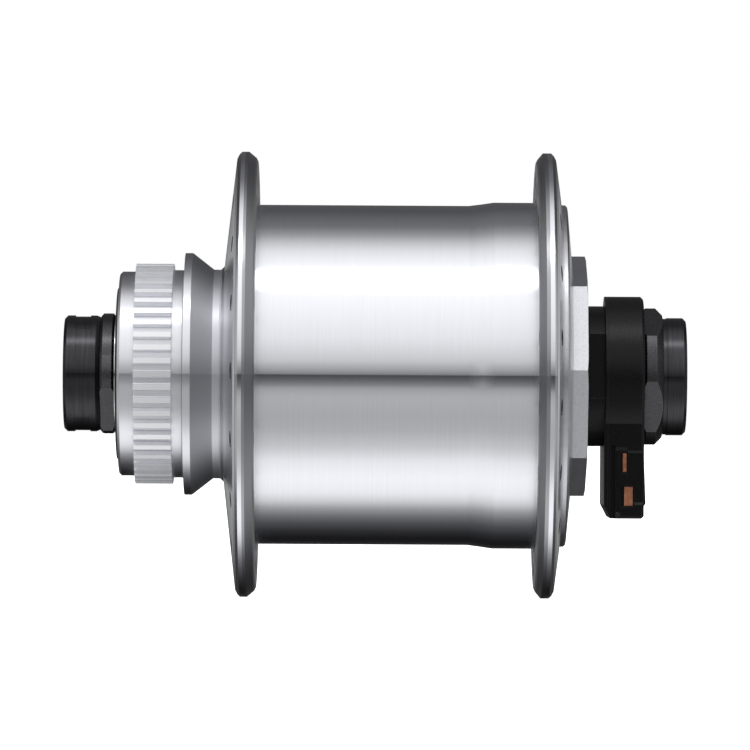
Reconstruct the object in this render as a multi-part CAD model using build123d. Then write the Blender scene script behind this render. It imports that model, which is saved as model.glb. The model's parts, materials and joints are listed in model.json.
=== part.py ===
from build123d import *
import math
import os

# Generator hub for the front wheel of a bicycle, in millimetres.
# A station is a distance along the axle from the hub's middle. It grows from the disc side to the lead side.
# Pieces are modelled upright, with the axle along Z, and save() lays them down along the hub's own axle.
# An angle round the axle starts where the light lead's contacts face and grows towards the ground.

# Whole hub
hub_width = 100.0
flange_dia = 71.8
barrel_dia = 54.7
overrun = 1.0
small_edge = 0.3
side_gap = 0.3

# Hollow axle and the threads on it
thru_bore_dia = 12.1
axle_wall = 1.45
thread_gap = 0.05
axle_body_wall = 1.1
collar_wall = 1.9
collar_length = 2.5
groove_width = 2.2
groove_depth = 1.05

# End caps that sit in the fork
left_cap_length = 5.9
left_cap_dia = 18.7
left_cap_grip = 1.9
right_cap_length = 3.8
right_cap_dia = 18.9
right_cap_grip = 1.3
cap_edge = 0.5
cap_bevel_length = 0.75
cap_bevel_depth = 0.3
cap_neck_length = 0.7
cap_neck_step = 0.12
pocket_length = 2.5
pocket_inset = 1.7
pocket_depth = 0.18
pocket_half_angle = 40.0

# Nuts on the axle
left_nut_length = 2.3
left_nut_dia = 19.4
left_nut_flats = 17.0
left_nut_angle = 43.0
lock_nut_length = 3.1
lock_nut_dia = 22.0
lock_nut_flats = 20.0
lock_nut_angle = 29.0
lock_nut_bevel_length = 1.1
lock_nut_bevel_depth = 1.1
inner_nut_length = 2.7
inner_nut_dia = 22.6
inner_nut_flats = 20.0
inner_nut_angle = -9.8
nut_edge = 0.4

# Cup and cone bearings
ball_dia = 4.76
ball_count = 8
race_gap = 0.03
cone_wall = 0.94
cone_inboard = 3.6
cone_race_sweep = 52.0
cup_wall = 0.9
cup_outboard = 2.9
cup_inboard = 3.5
cup_race_sweep = 65.0
press_gap = 0.02
seal_gap = 0.35
cage_gap = 0.12
cage_web = 0.9
cage_wall = 2.2

# Disc boss with its splines
boss_proud = 0.4
lock_thread_length = 5.1
lock_ledge = 0.57
boss_wall = 1.66
lead_length = 2.6
spline_length = 6.05
spline_rise = 0.49
spline_height = 0.8
spline_teeth = 52
tooth_root_share = 0.31
tooth_tip_share = 0.22
pilot_length = 1.65
pilot_rise = 0.28
undercut_length = 0.2
seat_relief = 0.3
collar_rim_length = 1.2
collar_rim_rise = 1.75
boss_cone_length = 3.4
neck_length = 1.1
neck_rise = 0.39
seat_shoulder = 1.8
seat_shoulder_length = 1.2

# Flanges and spoke holes
flange_root_length = 0.6
flange_root_rise = 0.55
left_flange_width = 5.3
left_dish = 2.0
right_flange_width = 4.1
right_dish = 0.95
rim_width = 1.1
right_rim_width = 1.3
rim_bevel = 0.75
rim_step = 1.0
rim_round_shares = (0.45, 0.38)
rim_inner_bevel = 0.25
rim_inner_step = 1.5
spoke_count = 18
spoke_hole_dia = 2.6
spoke_edge = 4.5
spoke_turn = -1.0

# Barrel
barrel_wall = 2.15
barrel_swell = 0.55
swell_length = 4.0
swell_inset = 6.8
chamber_floor = 4.3

# Cover on the lead side
cover_gap = 0.03
cover_thread_depth = 0.8
cover_skirt_length = 6.25
cover_skirt_wall = 1.57
cover_lip_inset = 0.2
cover_rim_length = 0.9
cover_dish = 0.75
cover_web = 1.85
octagon_height = 2.4
octagon_flats = 35.75
octagon_edge = 0.75
octagon_bevel = 0.15
octagon_angle = -2.7
seal_seat_step = 1.6
seal_edge = 0.3
bearing_wall = 2.3
gasket_wall = 0.6

# Dust caps
dust_cap_wall = 0.8
dust_cap_face = 1.0
lock_ring_room = 0.8

# Rotor magnets and stator
iron_wall = 1.47
iron_length_share = 0.6422
glue_gap = 0.05
magnet_wall = 3.35
magnet_inset = 1.0
magnet_count = 4
magnet_joint_angle = 1.2
air_gap = 0.5
pole_pairs = 14
claw_wall = 1.2
claw_root_share = 0.36
claw_tip_share = 0.19
yoke_inset = 1.2
yoke_wall = 1.2
yoke_arm = 2.1
claw_end_gap = 0.8
core_wall = 1.45
bobbin_gap = 0.05
bobbin_wall = 0.85
bobbin_flange = 1.0
bobbin_clearance = 0.5
coil_inset = 0.6
washer_wall = 0.8
washer_edge = 0.1
stator_nut_length = 4.0
stator_nut_flats = 19.0

# Lead wires inside the hub
wire_dia = 0.8
wire_spacing = 1.1
wire_gap = 0.05
wire_room = 0.35
wire_bend = 1.2
wire_turn_share = 0.415

# Connector for the light lead
connector_ring_dia = 25.7
connector_length = 6.2
connector_edge = 0.4
plate_wall = 0.4
lug_wall = 0.2
heel_length = 1.05
heel_height = 2.1
lug_start = 4.4
lug_corner = 1.2
block_width = 20.8
block_reach = 22.75
block_corner = 0.6
channel_offset = 0.42
channel_width = 0.8
channel_depth = 1.5
rib_width = 0.79
floor_depth = 0.45
floor_slope = 0.5
channel_lead = 0.43
floor_lead = 0.8
upper_window_width = 1.13
upper_window_length = 3.25
upper_window_shade = 0.4
lower_window_width = 2.15
lower_window_length = 3.3
lower_window_shade = 0.64
window_post = 2.1
window_margin = 1.93
window_depth = 1.3
window_gap = 0.12
side_step_depth = 0.3
side_step_slope = 0.35
side_step_margin = 0.3
terminal_wall = 0.4
terminal_sink = 0.7
terminal_tail = 1.9
terminal_slot_gap = 0.05
duct_width = 2.4
duct_length = 1.4
ramp_height = 0.35
ramp_width = 16.0
ramp_margin = 1.9
ramp_back = 0.5

# Radii from the axle outwards
bore_r = thru_bore_dia / 2
axle_r = bore_r + axle_wall
threaded_r = axle_r + thread_gap
ball_r = ball_dia / 2
race_r = ball_r + race_gap
pitch_r = threaded_r + cone_wall + race_r
land_r = pitch_r - race_r * math.cos(math.radians(cone_race_sweep))
cup_lip_r = pitch_r + race_r * math.cos(math.radians(cup_race_sweep))
cup_r = pitch_r + race_r + cup_wall
seat_r = cup_r + press_gap
lock_thread_r = seat_r + lock_ledge
lead_r = lock_thread_r + boss_wall
spline_root_r = lead_r + spline_rise
spline_tip_r = spline_root_r + spline_height
pilot_r = lead_r + pilot_rise
collar_rim_r = spline_tip_r + collar_rim_rise
neck_r = lead_r + neck_rise
seal_bore_r = land_r + seal_gap
axle_body_r = axle_r + axle_body_wall
collar_r = axle_body_r + collar_wall

# Radii from the barrel inwards
flange_r = flange_dia / 2
barrel_r = barrel_dia / 2
swell_r = barrel_r + barrel_swell
chamber_r = barrel_r - barrel_wall
cover_thread_r = chamber_r + cover_thread_depth
iron_r = chamber_r - cover_gap
magnet_r = iron_r - iron_wall - glue_gap
claw_r = magnet_r - magnet_wall - air_gap
claw_inner_r = claw_r - claw_wall
bobbin_r = claw_inner_r - bobbin_clearance
core_r = threaded_r + core_wall
spoke_circle_r = flange_r - spoke_edge

# Stations from the disc side inwards
left_face = -hub_width / 2
left_cap_end = left_face + left_cap_length
left_nut_end = left_cap_end + left_nut_length
dust_cap_start = left_nut_end + side_gap
boss_start = dust_cap_start + boss_proud
lead_end = boss_start + lead_length
spline_end = lead_end + spline_length
pilot_end = spline_end + pilot_length
rim_start = pilot_end + undercut_length
rim_end = rim_start + collar_rim_length
neck_start = rim_end + boss_cone_length
neck_end = neck_start + neck_length
left_flange_start = neck_end + flange_root_length
left_flange_end = left_flange_start + left_flange_width
left_seat_start = boss_start + lock_thread_length
left_ball_station = left_seat_start + cup_outboard
left_seat_end = left_ball_station + cup_inboard
chamber_start = left_flange_start + chamber_floor
left_shoulder = left_ball_station + cone_inboard

# Stations from the lead side inwards
right_face = hub_width / 2
right_cap_start = right_face - right_cap_length
connector_end = right_cap_start - lock_nut_length
connector_start = connector_end - connector_length
inner_nut_start = connector_start - inner_nut_length
cover_end = inner_nut_start - side_gap
octagon_start = cover_end - octagon_height
cover_rim_end = octagon_start - cover_dish
shell_end = cover_rim_end - cover_rim_length
right_flange_start = shell_end - right_flange_width
right_seat_end = octagon_start - seal_edge
right_ball_station = right_seat_end - cup_outboard
right_seat_start = right_ball_station - cup_inboard
swell_end = right_flange_start - swell_inset
swell_start = swell_end - swell_length
skirt_start = shell_end - cover_skirt_length
mouth_start = skirt_start - gasket_wall
housing_start = connector_start + plate_wall

# Stations of the generator, centred between the chamber's floor and the cover's skirt
stator_middle = (chamber_start + skirt_start) / 2
iron_length = (skirt_start - chamber_start) * iron_length_share
magnet_length = iron_length - 2 * magnet_inset
yoke_length = iron_length - 2 * yoke_inset
stator_start = stator_middle - yoke_length / 2
stator_end = stator_middle + yoke_length / 2
coil_room_start = stator_start + yoke_wall
coil_room_end = stator_end - yoke_wall
washer_end = stator_end + washer_wall
stator_nut_end = washer_end + stator_nut_length

# Lead wires
stator_nut_corner_r = stator_nut_flats / 2 / math.cos(math.radians(30))
wire_r = wire_dia / 2
wire_rise_r = stator_nut_corner_r + wire_room + wire_r
wire_groove_r = axle_r - groove_depth + wire_gap + wire_r
wire_turn = stator_nut_end + (right_ball_station - cone_inboard - stator_nut_end) * wire_turn_share

# Places of the connector's windows, towards the ground from the axle
lower_window_end = block_reach - window_margin
lower_window_start = lower_window_end - lower_window_length
upper_window_end = lower_window_start - window_post
upper_window_start = upper_window_end - upper_window_length
floor_start = upper_window_start - floor_lead
channel_start_drop = floor_start - channel_lead

# Stations of the connector's windows
channel_station = housing_start + channel_offset
rib_station = channel_station + channel_width
window_station = rib_station + rib_width
duct_station = window_station - window_gap

LAID_DOWN = Plane(origin=(0, 0, 0), x_dir=(-1, 0, 0), z_dir=(0, -1, 0)).location


def polar(radius, angle):
    """Point on a circle round the axle."""
    return radius * math.cos(math.radians(angle)), radius * math.sin(math.radians(angle))


def turned(*corners):
    """Solid turned round the axle from corners of station, radius and, where it is rounded, rounding."""
    points = [(corner[1], corner[0]) for corner in corners]
    roundings = [corner[2] if len(corner) > 2 else 0 for corner in corners]
    outline = FilletPolyline(*points, radius=roundings, close=True)
    return revolve(Plane.XZ * make_face(outline), Axis.Z)


def ring(start, end, inner, outer):
    """Plain ring between two stations."""
    return turned((start, inner), (start, outer), (end, outer), (end, inner))


def bevelled_ring(start, end, inner, outer, bevel):
    """Ring with both outer edges bevelled."""
    return turned(
        (start, inner),
        (start, outer - bevel),
        (start + bevel, outer),
        (end - bevel, outer),
        (end, outer - bevel),
        (end, inner),
    )


def around(piece, count, start_angle):
    """Copies of a piece, evenly spaced round the axle."""
    return [Rot(0, 0, start_angle + 360 * index / count) * piece for index in range(count)]


def flats(piece, across, along, start, end, angle):
    """The piece with two or four flats, square to the given angle."""
    gauge = Box(across, along, end - start)
    return piece & (Pos(0, 0, (start + end) / 2) * Rot(0, 0, angle) * gauge)


def slab(x_span, y_span, z_span):
    """Box from its low and high ends along each direction."""
    spans = (x_span, y_span, z_span)
    size = [span[1] - span[0] for span in spans]
    middle = [(span[0] + span[1]) / 2 for span in spans]
    return Pos(*middle) * Box(*size)


# Axle, caps and nuts
def axle_tube():
    """Hollow axle with its stator collar, its bearing shoulder and the grooves for the wires and the tab."""
    left_end = left_cap_end - left_cap_grip
    right_end = right_cap_start + right_cap_grip
    tube = turned(
        (left_end, bore_r),
        (left_end, axle_r),
        (left_shoulder, axle_r),
        (left_shoulder, axle_body_r),
        (stator_start - collar_length, axle_body_r),
        (stator_start - collar_length, collar_r),
        (stator_start, collar_r),
        (stator_start, axle_r),
        (right_end, axle_r),
        (right_end, bore_r),
    )
    half = groove_width / 2
    floor = axle_r - groove_depth
    wire_groove = slab((-half, half), (floor, axle_r + overrun), (stator_nut_end, connector_end))
    tab_groove = slab((-half, half), (-axle_r - overrun, -floor), (stator_end, stator_nut_end))
    return tube - wire_groove - tab_groove


def left_end_cap():
    """Cap that centres the disc side in the fork, with a shallow pocket above and below."""
    outer = left_cap_dia / 2
    grip_start = left_cap_end - left_cap_grip
    cap = turned(
        (left_face, bore_r),
        (left_face, outer - cap_edge),
        (left_face + cap_edge, outer),
        (left_cap_end - cap_bevel_length, outer),
        (left_cap_end, outer - cap_bevel_depth),
        (left_cap_end, threaded_r),
        (grip_start, threaded_r),
        (grip_start, bore_r),
    )
    pocket_start = left_face + pocket_inset
    section = Plane.XZ * make_face(
        Polyline(
            (outer - pocket_depth, pocket_start),
            (outer + overrun, pocket_start),
            (outer + overrun, pocket_start + pocket_length),
            (outer - pocket_depth, pocket_start + pocket_length),
            close=True,
        )
    )
    pocket = revolve(section, Axis.Z, 2 * pocket_half_angle)
    for middle in (90, -90):
        cap -= Rot(0, 0, middle - pocket_half_angle) * pocket
    return cap


def right_end_cap():
    """Cap that centres the lead side in the fork."""
    outer = right_cap_dia / 2
    grip_end = right_cap_start + right_cap_grip
    return turned(
        (right_cap_start, threaded_r),
        (right_cap_start, outer - cap_neck_step),
        (right_cap_start + cap_neck_length, outer - cap_neck_step),
        (right_cap_start + cap_neck_length, outer),
        (right_face - cap_edge, outer),
        (right_face, outer - cap_edge),
        (right_face, bore_r),
        (grip_end, bore_r),
        (grip_end, threaded_r),
    )


def left_lock_nut():
    """Round nut with two flats, against the disc side's cone."""
    nut = bevelled_ring(left_cap_end, left_nut_end, threaded_r, left_nut_dia / 2, nut_edge)
    return flats(nut, left_nut_flats, left_nut_dia, left_cap_end, left_nut_end, left_nut_angle)


def right_inner_nut():
    """Round nut with two flats, against the lead side's cone."""
    nut = ring(inner_nut_start, connector_start, threaded_r, inner_nut_dia / 2)
    return flats(nut, inner_nut_flats, inner_nut_dia, inner_nut_start, connector_start, inner_nut_angle)


def right_lock_nut():
    """Round nut with four flats, which clamps the connector."""
    outer = lock_nut_dia / 2
    nut = turned(
        (connector_end, threaded_r),
        (connector_end, outer - nut_edge),
        (connector_end + nut_edge, outer),
        (right_cap_start - lock_nut_bevel_length, outer),
        (right_cap_start, outer - lock_nut_bevel_depth),
        (right_cap_start, threaded_r),
    )
    return flats(nut, lock_nut_flats, lock_nut_flats, connector_end, right_cap_start, lock_nut_angle)


# Bearings, drawn with the balls' centres at zero and Z pointing out of the hub
def outboard(piece, station):
    """A bearing piece put at its station, turned round on the disc side."""
    if station < stator_middle:
        return Pos(0, 0, station) * Rot(180, 0, 0) * piece
    return Pos(0, 0, station) * piece


def bearing_cup():
    """Outer race."""
    mouth_r = pitch_r + race_r
    race = CenterArc((pitch_r, 0), race_r, 0, -cup_race_sweep)
    wall = Polyline(
        race @ 1,
        (cup_lip_r, -cup_inboard),
        (cup_r, -cup_inboard),
        (cup_r, cup_outboard),
        (mouth_r, cup_outboard),
        race @ 0,
    )
    return revolve(Plane.XZ * make_face(Curve() + [race, wall]), Axis.Z)


def bearing_cone(length):
    """Inner race, with the land that the seal runs round."""
    race = CenterArc((pitch_r, 0), race_r, 180, -cone_race_sweep)
    inboard = (pitch_r - race_r, -cone_inboard)
    body = Polyline(
        race @ 1, (land_r, length), (threaded_r, length), (threaded_r, -cone_inboard), inboard, race @ 0
    )
    return revolve(Plane.XZ * make_face(Curve() + [race, body]), Axis.Z)


def bearing_balls():
    """Ring of balls."""
    return around(Pos(pitch_r, 0, 0) * Sphere(ball_r), ball_count, 0)


def ball_cage():
    """Ring outboard of the balls, with flat fingers that reach between them."""
    room = ball_r + cage_gap
    cage = ring(-ball_r / 2, room + cage_web, pitch_r - cage_wall / 2, pitch_r + cage_wall / 2)
    slot = slab((0, pitch_r + cage_wall), (-room, room), (-ball_r, room))
    return cage - around(slot, ball_count, 0)


def left_dust_cap():
    """Cap over the disc side's balls, standing on the cup."""
    outer = lock_thread_r - lock_ring_room
    inner = outer - dust_cap_wall
    return turned(
        (dust_cap_start, seal_bore_r),
        (dust_cap_start, outer - small_edge),
        (dust_cap_start + small_edge, outer),
        (left_seat_start, outer),
        (left_seat_start, inner),
        (dust_cap_start + dust_cap_face, inner),
        (dust_cap_start + dust_cap_face, seal_bore_r),
    )


def right_dust_seal():
    """Seal in the cover's mouth."""
    outer = cup_r - seal_seat_step - press_gap
    cage_end = right_ball_station + ball_r + cage_gap + cage_web
    return ring(cage_end + side_gap, cover_end - seal_edge, seal_bore_r, outer)


# Shell and cover
def spline_ring():
    """Ring of square teeth that the brake disc slides over."""
    pitch_angle = 360 / spline_teeth
    corners = []
    for tooth in range(spline_teeth):
        middle = tooth * pitch_angle
        corners.append(polar(spline_root_r, middle - tooth_root_share * pitch_angle))
        corners.append(polar(spline_tip_r, middle - tooth_tip_share * pitch_angle))
        corners.append(polar(spline_tip_r, middle + tooth_tip_share * pitch_angle))
        corners.append(polar(spline_root_r, middle + tooth_root_share * pitch_angle))
    outline = make_face(Polyline(*corners, close=True)) - Circle(lead_r - boss_wall / 2)
    return Pos(0, 0, lead_end) * extrude(outline, spline_length)


def shell_blank():
    """Shell as it comes off the lathe."""
    seat_bore_r = seat_r - seat_shoulder
    along, below = rim_round_shares
    return turned(
        (boss_start, lock_thread_r + small_edge),
        (boss_start, lead_r - nut_edge),
        (boss_start + nut_edge, lead_r),
        (spline_end, lead_r),
        (spline_end, pilot_r),
        (pilot_end, pilot_r),
        (rim_start, pilot_r - undercut_length),
        (rim_start + undercut_length, pilot_r - undercut_length),
        (rim_start + undercut_length, spline_tip_r + seat_relief),
        (rim_start, spline_tip_r + seat_relief),
        (rim_start, collar_rim_r),
        (rim_end, collar_rim_r),
        (neck_start, neck_r),
        (neck_end, neck_r),
        (left_flange_start, neck_r + flange_root_rise),
        (left_flange_start + left_dish, flange_r - rim_step),
        (left_flange_start + left_dish + rim_bevel * along, flange_r - rim_step * below),
        (left_flange_start + left_dish + rim_bevel, flange_r),
        (left_flange_start + left_dish + rim_bevel + rim_width, flange_r),
        (left_flange_end - rim_inner_bevel, flange_r - rim_step),
        (left_flange_end, flange_r - rim_inner_step),
        (left_flange_end, barrel_r),
        (swell_start, barrel_r),
        (swell_end, swell_r),
        (right_flange_start, swell_r),
        (right_flange_start, flange_r - rim_inner_step),
        (right_flange_start + rim_inner_bevel, flange_r - rim_step),
        (shell_end - right_dish - rim_bevel - right_rim_width, flange_r),
        (shell_end - right_dish - rim_bevel, flange_r),
        (shell_end - right_dish - rim_bevel * along, flange_r - rim_step * below),
        (shell_end - right_dish, flange_r - rim_step),
        (shell_end, swell_r - small_edge),
        (shell_end, cover_thread_r),
        (mouth_start, cover_thread_r),
        (mouth_start, chamber_r),
        (chamber_start, chamber_r),
        (chamber_start, seat_bore_r + seat_shoulder),
        (left_seat_end + seat_shoulder_length, seat_bore_r),
        (left_seat_end, seat_bore_r),
        (left_seat_end, seat_r),
        (left_seat_start, seat_r),
        (left_seat_start, lock_thread_r),
        (boss_start + small_edge, lock_thread_r),
    )


def spoke_holes(start, end, turn):
    """Drills for one flange's spokes."""
    drill = Pos(spoke_circle_r, 0, (start + end) / 2) * Cylinder(spoke_hole_dia / 2, end - start)
    return around(drill, spoke_count, turn)


def hub_shell():
    """Barrel, flanges and disc boss, turned from one piece."""
    shell = shell_blank() + spline_ring()
    half_pitch = 180 / spoke_count
    left_drills = spoke_holes(left_flange_start - overrun, left_flange_end + overrun, spoke_turn)
    right_drills = spoke_holes(right_flange_start - overrun, shell_end + overrun, spoke_turn + half_pitch)
    return shell - left_drills - right_drills


def shell_cover():
    """Screwed cover that holds the lead side's bearing, with an octagon for its tool."""
    rim_r = swell_r - cover_lip_inset - small_edge / 2
    skirt_r = cover_thread_r - cover_gap
    corner_r = octagon_flats / 2 / math.cos(math.radians(22.5))
    seal_r = cup_r - seal_seat_step
    web_start = octagon_start - cover_web - small_edge
    body = turned(
        (shell_end, skirt_r),
        (shell_end, rim_r),
        (cover_rim_end - small_edge, rim_r),
        (cover_rim_end, rim_r - small_edge),
        (octagon_start, corner_r),
        (octagon_start, seat_r),
        (cover_end, seat_r),
        (cover_end, seal_r),
        (right_seat_end, seal_r),
        (right_seat_end, seat_r),
        (right_seat_start, seat_r),
        (right_seat_start, seat_r + bearing_wall),
        (web_start, seat_r + bearing_wall),
        (web_start, skirt_r - cover_skirt_wall),
        (skirt_start, skirt_r - cover_skirt_wall),
        (skirt_start, skirt_r),
    )
    plan = RegularPolygon(corner_r, 8, rotation=octagon_angle) - Circle(seal_r + bearing_wall / 2)
    octagon = extrude(plan, octagon_height)
    bevel = turned(
        (octagon_start, seal_r),
        (octagon_start, corner_r),
        (cover_end - octagon_bevel, corner_r),
        (cover_end, corner_r - octagon_edge),
        (cover_end, seal_r),
    )
    return body + ((Pos(0, 0, octagon_start) * octagon) & bevel)


def cover_gasket():
    """Rubber ring that the cover's skirt presses against the shell's step."""
    return ring(mouth_start, skirt_start, chamber_r, cover_thread_r - cover_gap)


# Generator
def magnet_back_iron():
    """Steel ring that closes the magnets' field."""
    return ring(stator_middle - iron_length / 2, stator_middle + iron_length / 2, iron_r - iron_wall, iron_r)


def rotor_magnets():
    """Curved magnets glued inside the back iron."""
    inner = magnet_r - magnet_wall
    low = stator_middle - magnet_length / 2
    high = stator_middle + magnet_length / 2
    section = Polyline((inner, low), (magnet_r, low), (magnet_r, high), (inner, high), close=True)
    magnet = revolve(Plane.XZ * make_face(section), Axis.Z, 360 / magnet_count - magnet_joint_angle)
    return around(magnet, magnet_count, 0)


def slice_of_ring(inner, outer, half_angle):
    """Flat slice between two circles, with straight ends, centred on angle zero."""
    near = [polar(inner, -half_angle), polar(inner, half_angle)]
    far = [polar(outer, half_angle), polar(outer, -half_angle)]
    return make_face(Polyline(*near, *far, close=True))


def claw():
    """One pole: an arm of the plate and the tapered finger bent from it."""
    pole_angle = 180 / pole_pairs
    root = pole_angle * claw_root_share
    tip = pole_angle * claw_tip_share
    arm = extrude(slice_of_ring(claw_inner_r - yoke_arm, claw_r, root), yoke_wall)
    reach = yoke_length - yoke_wall - claw_end_gap
    finger_root = Pos(0, 0, yoke_wall) * slice_of_ring(claw_inner_r, claw_r, root)
    finger_tip = Pos(0, 0, reach) * slice_of_ring(claw_inner_r, claw_r, tip)
    return arm + loft([finger_root, finger_tip], ruled=True)


def claw_yoke():
    """Plate with every second pole, drawn from its outer face inwards."""
    plate = ring(0, yoke_wall, threaded_r, claw_inner_r - yoke_arm / 2)
    return plate + around(claw(), pole_pairs, 0)


def left_claw_yoke():
    """Poles that reach from the disc side."""
    return Pos(0, 0, stator_start) * claw_yoke()


def right_claw_yoke():
    """Poles that reach from the lead side, between the others, with the slot for the wires."""
    yoke = Pos(0, 0, stator_end) * Rot(180, 0, 180 / pole_pairs) * claw_yoke()
    half_width = wire_spacing / 2 + wire_r + wire_gap
    drop = (wire_rise_r - wire_r - wire_gap, wire_rise_r + wire_r + wire_gap)
    slot = slab((-half_width, half_width), drop, (coil_room_end - overrun / 2, stator_end + overrun / 2))
    return yoke - slot


def stator_core():
    """Iron sleeve inside the coil."""
    return ring(coil_room_start, coil_room_end, threaded_r, core_r)


def coil_bobbin():
    """Plastic spool for the coil."""
    start = coil_room_start + bobbin_gap
    end = coil_room_end - bobbin_gap
    inner = core_r + bobbin_gap
    hub = inner + bobbin_wall
    return turned(
        (start, inner),
        (start, bobbin_r),
        (start + bobbin_flange, bobbin_r),
        (start + bobbin_flange, hub),
        (end - bobbin_flange, hub),
        (end - bobbin_flange, bobbin_r),
        (end, bobbin_r),
        (end, inner),
    )


def coil_winding():
    """Copper winding between the spool's flanges."""
    start = coil_room_start + bobbin_gap + bobbin_flange
    end = coil_room_end - bobbin_gap - bobbin_flange
    inner = core_r + bobbin_gap + bobbin_wall + bobbin_gap
    return ring(start, end, inner, bobbin_r - coil_inset)


def tab_washer():
    """Washer with a tab in the axle's groove, which keeps the stator nut from turning."""
    washer = ring(stator_end, washer_end, threaded_r, stator_nut_flats / 2 + washer_edge)
    half = groove_width / 2 - thread_gap
    floor = axle_r - groove_depth + thread_gap
    tab = slab((-half, half), (-threaded_r - washer_edge, -floor), (stator_end, washer_end))
    return washer + tab


def stator_nut():
    """Hexagon nut that clamps the stator against the axle's collar."""
    hexagon = extrude(RegularPolygon(stator_nut_corner_r, 6) - Circle(threaded_r), stator_nut_length)
    blank = turned(
        (washer_end, 0),
        (washer_end, stator_nut_corner_r),
        (stator_nut_end - small_edge, stator_nut_corner_r),
        (stator_nut_end, stator_nut_flats / 2),
        (stator_nut_end, 0),
    )
    return (Pos(0, 0, washer_end) * hexagon) & blank


def lead_wires():
    """Two wires from the coil, over the stator nut and along the axle's groove to the terminals."""
    duct_middle = duct_station + duct_length / 2
    ends = (upper_tail_drop() - wire_gap, lower_tail_drop() - wire_gap)
    wires = []
    for side, end in zip((1, -1), ends):
        place = side * wire_spacing / 2
        route = FilletPolyline(
            (place, wire_rise_r, coil_room_end - bobbin_gap),
            (place, wire_rise_r, wire_turn),
            (place, wire_groove_r, wire_turn),
            (place, wire_groove_r, duct_middle),
            (place, end, duct_middle),
            radius=wire_bend,
        )
        start = Plane(origin=route @ 0, z_dir=route % 0)
        wires.append(sweep(start * RegularPolygon(wire_r, 6), path=route))
    return wires


# Connector
def upper_tail_drop():
    """Where the upper terminal's tail starts, down from the axle."""
    return upper_window_start + (upper_window_length - terminal_tail) / 2


def lower_tail_drop():
    """Where the lower terminal's tail starts, down from the axle."""
    return lower_window_start + (lower_window_length - terminal_tail) / 2


def terminal(shade, width, window_start, window_length, tail_start, tail_reach, grow):
    """Contact plate in a window of the connector and the tail that leads to its wire."""
    front = block_width / 2 - terminal_sink
    back = front - terminal_wall
    first = window_station + shade
    blade = slab(
        (back, front + grow),
        (window_start + window_gap - grow, window_start + window_length - window_gap + grow),
        (first - grow, window_station + width - window_gap + grow),
    )
    tail = slab(
        (tail_reach - grow, back),
        (tail_start - grow, tail_start + terminal_tail + grow),
        (first - grow, first + terminal_wall + grow),
    )
    return blade + tail


def upper_terminal(grow=0):
    """Contact nearer the axle."""
    reach = wire_spacing / 2 - wire_r
    window = (upper_window_shade, upper_window_width, upper_window_start, upper_window_length)
    return terminal(*window, upper_tail_drop(), reach, grow)


def lower_terminal(grow=0):
    """Contact nearer the ground."""
    reach = -wire_spacing / 2 - wire_r
    window = (lower_window_shade, lower_window_width, lower_window_start, lower_window_length)
    return terminal(*window, lower_tail_drop(), reach, grow)


def connector_outline(corner):
    """Outline of the connector along the axle: a ring with a block below it."""
    block = Pos(0, block_reach / 2) * Rectangle(block_width, block_reach)
    block = fillet(block.vertices().group_by(Axis.Y)[-1], corner)
    return Circle(connector_ring_dia / 2) + block


def front_pocket(stations, drops, depth, slope):
    """Pocket in the block's front face, whose upper and lower ends slope."""
    face = block_width / 2
    low, high = drops
    side = make_face(
        Polyline(
            (face + overrun, low),
            (face, low),
            (face - depth, low + slope),
            (face - depth, high - slope),
            (face, high),
            (face + overrun, high),
            close=True,
        )
    )
    return Pos(0, 0, stations[0]) * extrude(side, stations[1] - stations[0])


def connector_pockets():
    """Cut-outs of the block's front: plug channel, contact floor, two windows and the side step."""
    floor_from = rib_station - small_edge
    floor_end = block_reach - floor_slope
    upper_end = window_station + upper_window_width
    lower_end = window_station + lower_window_width
    channel_drops = (channel_start_drop, block_reach + overrun)
    side_drops = (upper_window_start - side_step_margin, lower_window_end - side_step_margin)
    return [
        front_pocket((channel_station, rib_station), channel_drops, channel_depth, 0),
        front_pocket((floor_from, upper_end), (floor_start, upper_window_end), floor_depth, floor_slope),
        front_pocket((floor_from, window_station), (floor_start, floor_end), floor_depth, floor_slope),
        front_pocket((window_station, upper_end), (upper_window_start, upper_window_end), window_depth, 0),
        front_pocket((window_station, lower_end), (lower_window_start, lower_window_end), window_depth, 0),
        front_pocket((upper_end, connector_end + overrun), side_drops, side_step_depth, side_step_slope),
    ]


def plug_ramp():
    """Low wedge that the plug snaps over, on the block's outer face."""
    start = lock_nut_dia / 2 + side_gap
    end = block_reach - ramp_margin
    wedge = Polyline(
        (start, connector_end),
        (end - ramp_back, connector_end + ramp_height),
        (end, connector_end),
        close=True,
    )
    section = Plane.YZ * make_face(wedge)
    return Pos(-ramp_width / 2, 0, 0) * extrude(section, ramp_width)


def connector_heel():
    """Slanted cut along the connector's lowest edge on the hub's side."""
    start = connector_start - lug_wall
    wedge = Polyline(
        (block_reach - heel_height, start),
        (block_reach, start + heel_length),
        (block_reach + overrun, start + heel_length),
        (block_reach + overrun, start - overrun),
        (block_reach - heel_height, start - overrun),
        close=True,
    )
    width = block_width + 2 * overrun
    return Pos(-width / 2, 0, 0) * extrude(Plane.YZ * make_face(wedge), width)


def connector_housing():
    """Black moulded body of the connector."""
    body = Pos(0, 0, housing_start) * extrude(connector_outline(block_corner), connector_end - housing_start)
    body = chamfer(body.faces().sort_by(Axis.Z)[-1].edges(), connector_edge)
    body += plug_ramp()
    body -= ring(housing_start - overrun, connector_end + overrun, 0, threaded_r)
    half = duct_width / 2
    duct_end = lower_tail_drop() + terminal_tail + terminal_slot_gap
    body -= slab((-half, half), (0, duct_end), (duct_station, duct_station + duct_length))
    for pocket in connector_pockets():
        body -= pocket
    body -= connector_heel()
    return body - upper_terminal(terminal_slot_gap) - lower_terminal(terminal_slot_gap)


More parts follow.
